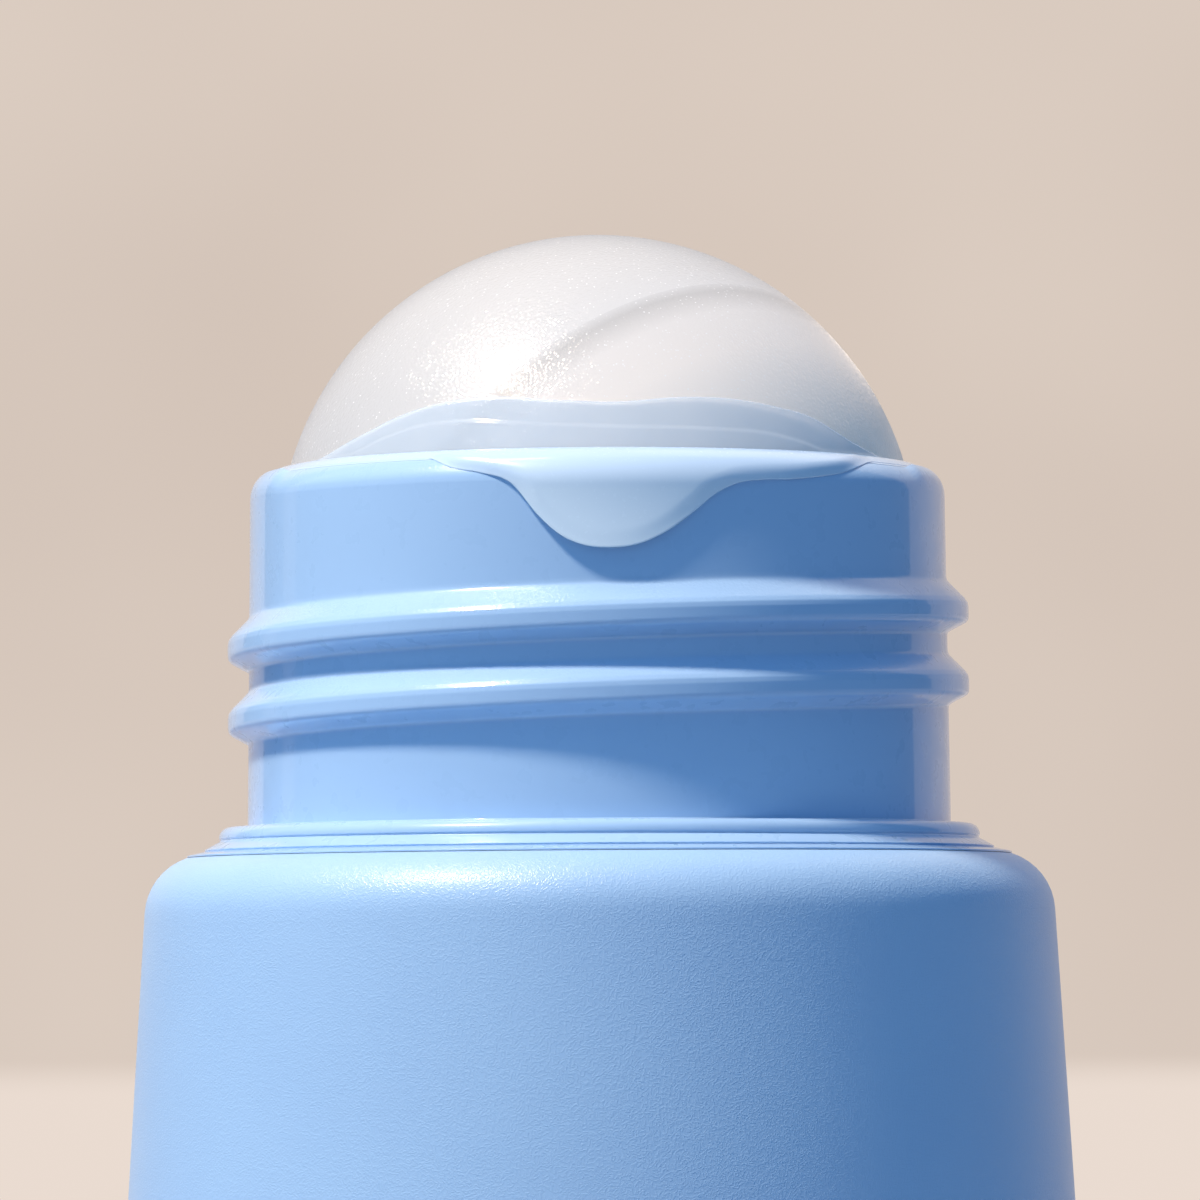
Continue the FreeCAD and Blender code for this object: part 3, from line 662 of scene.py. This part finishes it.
def gloss_neck_material():
    """Glossy blue plastic with a faint moulded ripple."""
    material, tree, shader, point = new_material("gloss_blue_neck")
    ripple = noise(tree, point, 0.8, 3.0)
    worms = noise(tree, point, 6.0, 1.0, 0.4)
    broad = noise(tree, point, 0.07, 2.0)
    colour = ramp(tree, broad, (0.3, NECK_BLUES[0]), (0.7, NECK_BLUES[1]))
    face = add_node(tree, "ShaderNodeNewGeometry")
    on_flank = spread(tree, parts_of(tree, face.outputs["Normal"])["Z"], *FLANK_RISE, FLANK_GRAIN)
    above_collar = spread(tree, parts_of(tree, point)["Z"], BEAD_HIGH + 1.0, BEAD_HIGH + 2.0)
    grain = bump(tree, worms, compute(tree, "MULTIPLY", on_flank, above_collar), 0.02)
    link(tree, colour, shader, "Base Color")
    link(tree, ramp(tree, ripple, (0.35, grey(0.26)), (0.65, grey(0.34))), shader, "Roughness")
    link(tree, grain, shader, "Normal")
    link(tree, grain, shader, "Coat Normal")
    set_inputs(shader, Specular_IOR_Level=0.2, Coat_Weight=0.7, Coat_Roughness=0.03)
    return material


def gloss_lip_material():
    """Paler, glossier blue plastic of the thin lip, a little milky, painted a darker blue towards the
    crown as painted shade.
    """
    material, tree, shader, point = new_material("gloss_pale_lip")
    fine = noise(tree, point, 4.0, 2.0)
    # Painted shade: thick is the share of height towards the crown, where the colour turns darker
    thick = spread(tree, parts_of(tree, point)["Z"], LIP_CROWN - LIP_CROWN_SHADE_DEPTH, LIP_CROWN)
    colour = ramp(tree, thick, (0.2, LIP_BLUES_AND_CROWN_SHADE[0]), (0.9, LIP_BLUES_AND_CROWN_SHADE[1]))
    link(tree, colour, shader, "Base Color")
    link(tree, ramp(tree, fine, (0.3, grey(0.22)), (0.7, grey(0.28))), shader, "Roughness")
    link(tree, bump(tree, fine, 0.03, 0.03), shader, "Normal")
    set_inputs(shader, Specular_IOR_Level=0.3, Coat_Weight=0.8, Coat_Roughness=0.06)
    return material


def clear_seal_material():
    """Soft, thin, see-through lip with a pale blue tint and a wet gloss."""
    material, tree, shader, point = new_material("clear_blue_seal")
    broad = noise(tree, point, 0.25, 2.0)
    fine = noise(tree, point, 2.0, 2.0)
    colour = ramp(tree, broad, (0.3, SEAL_BLUES[0]), (0.7, SEAL_BLUES[1]))
    link(tree, colour, shader, "Base Color")
    link(tree, ramp(tree, fine, (0.3, grey(0.06)), (0.7, grey(0.12))), shader, "Roughness")
    link(tree, bump(tree, fine, 0.03, 0.05), shader, "Normal")
    set_inputs(shader, Alpha=0.38, IOR=1.45)
    return material


def frosted_ball_material(name, *stops):
    """Pearly frosted plastic with painted light. Its colour changes with the distance from the weld seam
    in millimetres, painting a highlight and shade along the seam, and white specks are painted in as
    glints.
    """
    material, tree, shader, point = new_material(name)
    pole = BALL_POLE.normalized()
    rise = add_node(tree, "ShaderNodeVectorMath", {"operation": "DOT_PRODUCT"}, {0: point, 1: pole})
    from_seam = compute(tree, "SUBTRACT", rise.outputs["Value"], BALL_HEIGHT * pole.z)
    share = spread(tree, from_seam, -BALL_RADIUS, BALL_RADIUS)
    pearl = noise(tree, point, 0.3, 3.0)
    # The stops paint a highlight and shade along the seam into the colour
    places = [((distance / BALL_RADIUS + 1) / 2, colour) for distance, colour in stops]
    # Painted glints: the mask lightens the colour to white specks
    white = add_node(tree, "ShaderNodeMixRGB", {"blend_type": "LIGHTEN"}, {
        "Fac": painted_glints(tree, point), "Color1": ramp(tree, share, *places), "Color2": PAINTED_GLINT_COLOUR})
    frost = bump(tree, noise(tree, point, FROST_PER_MM, 1.0, 0.4), 1.0, 0.07)
    link(tree, white.outputs["Color"], shader, "Base Color")
    link(tree, ramp(tree, pearl, (0.3, grey(0.40)), (0.7, grey(0.48))), shader, "Roughness")
    link(tree, frost, shader, "Coat Normal")
    set_inputs(shader, Coat_Weight=0.7, Coat_Roughness=0.08, Coat_IOR=1.6, Specular_IOR_Level=0.1,
               Sheen_Weight=0.45, Sheen_Roughness=0.4, Sheen_Tint=SHEEN_COLOUR)
    return material


def painted_glints(tree, point):
    """Mask of tiny white specks painted in as glints, one in about half of the cells."""
    cells = add_node(tree, "ShaderNodeTexVoronoi", None, {"Vector": point, "Scale": PAINTED_GLINTS_PER_MM})
    near = ramp(tree, cells.outputs["Distance"], (0.14, grey(1.0)), (0.24, grey(0.0)))
    chosen = ramp(tree, cells.outputs["Color"], (0.45, grey(0.0)), (0.75, grey(0.9)))
    return compute(tree, "MULTIPLY", near, chosen)


def socket_material():
    """Pale blue moulded plastic."""
    material, tree, shader, point = new_material("pale_blue_socket")
    broad = noise(tree, point, 0.2, 3.0)
    fine = noise(tree, point, 5.0, 2.0)
    colour = ramp(tree, broad, (0.3, SOCKET_BLUES[0]), (0.7, SOCKET_BLUES[1]))
    link(tree, colour, shader, "Base Color")
    link(tree, ramp(tree, fine, (0.3, grey(0.36)), (0.7, grey(0.46))), shader, "Roughness")
    link(tree, bump(tree, fine, 0.06, 0.03), shader, "Normal")
    set_inputs(shader, Subsurface_Weight=0.2, Subsurface_Scale=1.0 * MM)
    return material


def rubber_material():
    """Pale soft rubber with a dusty, slightly rough face."""
    material, tree, shader, point = new_material("pale_ring_rubber")
    fine = noise(tree, point, 6.0, 4.0, 0.65)
    colour = ramp(tree, fine, (0.3, RUBBER_GREYS[0]), (0.75, RUBBER_GREYS[1]))
    link(tree, colour, shader, "Base Color")
    link(tree, ramp(tree, fine, (0.3, grey(0.55)), (0.7, grey(0.75))), shader, "Roughness")
    link(tree, bump(tree, fine, 0.15, 0.03), shader, "Normal")
    return material


def dress_node(node, material):
    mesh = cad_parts[node].data
    mesh.materials.clear()
    mesh.materials.append(material)


def looking_ray(tree):
    """1 for rays that look at or mirror or pass to the background, 0 for rays that carry light."""
    paths = add_node(tree, "ShaderNodeLightPath")
    seen = paths.outputs["Is Camera Ray"]
    for kind in ("Is Glossy Ray", "Is Transmission Ray"):
        seen = compute(tree, "MAXIMUM", seen, paths.outputs[kind])
    return seen


def make_floor():
    """Round pale floor whose far edge fades into the backdrop."""
    angles = np.linspace(0, 2 * math.pi, FLOOR_CORNERS, endpoint=False)
    mesh = bpy.data.meshes.new("floor")
    mesh.from_pydata([(FLOOR_RADIUS * math.cos(a), FLOOR_RADIUS * math.sin(a), 0) for a in angles], [],
                     [list(range(len(angles)))])
    floor = bpy.data.objects.new("floor", mesh)
    bpy.context.scene.collection.objects.link(floor)
    material = bpy.data.materials.new("pale_floor")
    material.use_nodes = True
    tree = material.node_tree
    shader = tree.nodes["Principled BSDF"]
    looking = looking_ray(tree)
    colour = add_node(tree, "ShaderNodeMixRGB", None, {
        "Fac": looking, "Color1": FLOOR_BOUNCE, "Color2": FLOOR_LIT})
    link(tree, colour.outputs["Color"], shader, "Base Color")
    set_inputs(shader, Roughness=0.8, Specular_IOR_Level=0.1)
    place = add_node(tree, "ShaderNodeTexCoord")
    far = add_node(tree, "ShaderNodeVectorMath", {"operation": "LENGTH"}, {0: place.outputs["Object"]})
    fade = spread(tree, far.outputs["Value"], FLOOR_RADIUS - FLOOR_FADE, FLOOR_RADIUS, kind="SMOOTHSTEP")
    clear = add_node(tree, "ShaderNodeBsdfTransparent")
    mix = add_node(tree, "ShaderNodeMixShader", None, {0: fade})
    glow = add_node(tree, "ShaderNodeEmission", None, {"Color": FLOOR_COLOUR, "Strength": 1.0})
    away = spread(tree, far.outputs["Value"], FLOOR_NEAR, FLOOR_FAR, kind="SMOOTHSTEP")
    face = add_node(tree, "ShaderNodeMixShader", None, {0: compute(tree, "MULTIPLY", away, looking)})
    tree.links.new(shader.outputs[0], face.inputs[1])
    tree.links.new(glow.outputs[0], face.inputs[2])
    tree.links.new(face.outputs[0], mix.inputs[1])
    tree.links.new(clear.outputs[0], mix.inputs[2])
    tree.links.new(mix.outputs[0], tree.nodes["Material Output"].inputs["Surface"])
    mesh.materials.append(material)


def make_world():
    """Cool soft light for the object, and a beige backdrop for what looks past or mirrors it."""
    world = bpy.data.worlds.new("studio")
    world.use_nodes = True
    bpy.context.scene.world = world
    tree = world.node_tree
    ambient = tree.nodes["Background"]
    place = add_node(tree, "ShaderNodeTexCoord")
    across = spread(tree, parts_of(tree, place.outputs["Generated"])["X"], -1.0, 1.0)
    soft = ramp(tree, across, (0.0, AMBIENT_LEFT), (1.0, AMBIENT_RIGHT))
    tree.links.new(soft, ambient.inputs["Color"])
    clouds = add_node(tree, "ShaderNodeTexNoise", None, {
        "Vector": place.outputs["Generated"], "Scale": 9.0, "Detail": 2.0}).outputs["Fac"]
    colour = ramp(tree, clouds, (0.3, BACKDROP_DARK), (0.7, BACKDROP_LIGHT))
    backdrop = add_node(tree, "ShaderNodeBackground", None, {"Color": colour})
    room = add_node(tree, "ShaderNodeBackground", None, {"Color": ROOM_DARK})
    mirrored = add_node(tree, "ShaderNodeMixShader", None, {0: front_of_room(tree, place)})
    tree.links.new(backdrop.outputs[0], mirrored.inputs[1])
    tree.links.new(room.outputs[0], mirrored.inputs[2])
    mix = add_node(tree, "ShaderNodeMixShader", None, {0: looking_ray(tree)})
    tree.links.new(ambient.outputs[0], mix.inputs[1])
    tree.links.new(mirrored.outputs[0], mix.inputs[2])
    tree.links.new(mix.outputs[0], tree.nodes["World Output"].inputs["Surface"])


def front_of_room(tree, place):
    """1 for mirrored rays that leave to the dim part of the room, away from the backdrop."""
    parts = parts_of(tree, place.outputs["Generated"])
    turn = compute(tree, "ARCTAN2", parts["X"], parts["Y"])
    stops = [((angle + 180) / 360, grey(1 - level)) for angle, level in ROOM_STRIPS]
    strips = ramp(tree, spread(tree, turn, -math.pi, math.pi), *stops, kind="CONSTANT")
    paths = add_node(tree, "ShaderNodeLightPath")
    return compute(tree, "MULTIPLY", strips, paths.outputs["Is Glossy Ray"])


def make_light(name, direction, distance, size, level, colour):
    """Oval light aimed at the neck. At level 1 it lights a face turned to it like full white."""
    lamp = bpy.data.lights.new(name, "AREA")
    lamp.shape = "ELLIPSE"
    lamp.size, lamp.size_y = size
    lamp.color = colour
    lamp.energy = level * math.pi**2 * distance**2
    aim = Vector((0, 0, RIM_HEIGHT * MM))
    light = bpy.data.objects.new(name, lamp)
    light.location = aim + direction.normalized() * distance
    light.rotation_euler = direction.to_track_quat("Z", "Y").to_euler()
    bpy.context.scene.collection.objects.link(light)


def make_camera():
    data = bpy.data.cameras.new("camera")
    data.sensor_width = SENSOR
    data.lens = SENSOR * FOCAL_PIXELS / IMAGE_SIZE
    camera = bpy.data.objects.new("camera", data)
    pitch = math.atan(HORIZON_BELOW_MIDDLE / FOCAL_PIXELS)
    turn = Matrix.Rotation(math.pi / 2 + pitch, 4, "X") @ Matrix.Rotation(CAMERA_ROLL, 4, "Z")
    camera.matrix_world = Matrix.Translation((CAMERA_SIDE, -CAMERA_DISTANCE, EYE_HEIGHT)) @ turn
    bpy.context.scene.collection.objects.link(camera)
    bpy.context.scene.camera = camera


shell = grained_shell_material()
make_jacket(shell)
make_bottle(gloss_neck_material())
make_lip(gloss_lip_material())
make_seal(clear_seal_material())
# Both halves' colours hold painted light: a highlight above the seam, and shade and light shining through
# below it
upper_pearl_painted_light = frosted_ball_material("pearl_ball_upper_painted_light", *UPPER_PEARL_AND_PAINTED_LIGHT)
lower_pearl_painted_light = frosted_ball_material("pearl_ball_lower_painted_light", *LOWER_PEARL_AND_PAINTED_LIGHT)
make_ball_half("ball_upper_skin", 1, upper_pearl_painted_light, "ball_upper_half")
make_ball_half("ball_lower_skin", -1, lower_pearl_painted_light, "ball_lower_half")
dress_node("base_plug", shell)
dress_node("ball_socket", socket_material())
dress_node("head_o_ring", rubber_material())
make_floor()
make_world()
make_light("key", KEY_DIRECTION, KEY_DISTANCE, KEY_SIZE, KEY_LEVEL, KEY_COLOUR)
make_light("top", TOP_DIRECTION, TOP_DISTANCE, TOP_SIZE, TOP_LEVEL, TOP_COLOUR)
make_light("back", BACK_DIRECTION, BACK_DISTANCE, BACK_SIZE, BACK_LEVEL, BACK_COLOUR)
make_camera()
bpy.context.scene.view_settings.view_transform = "Standard"
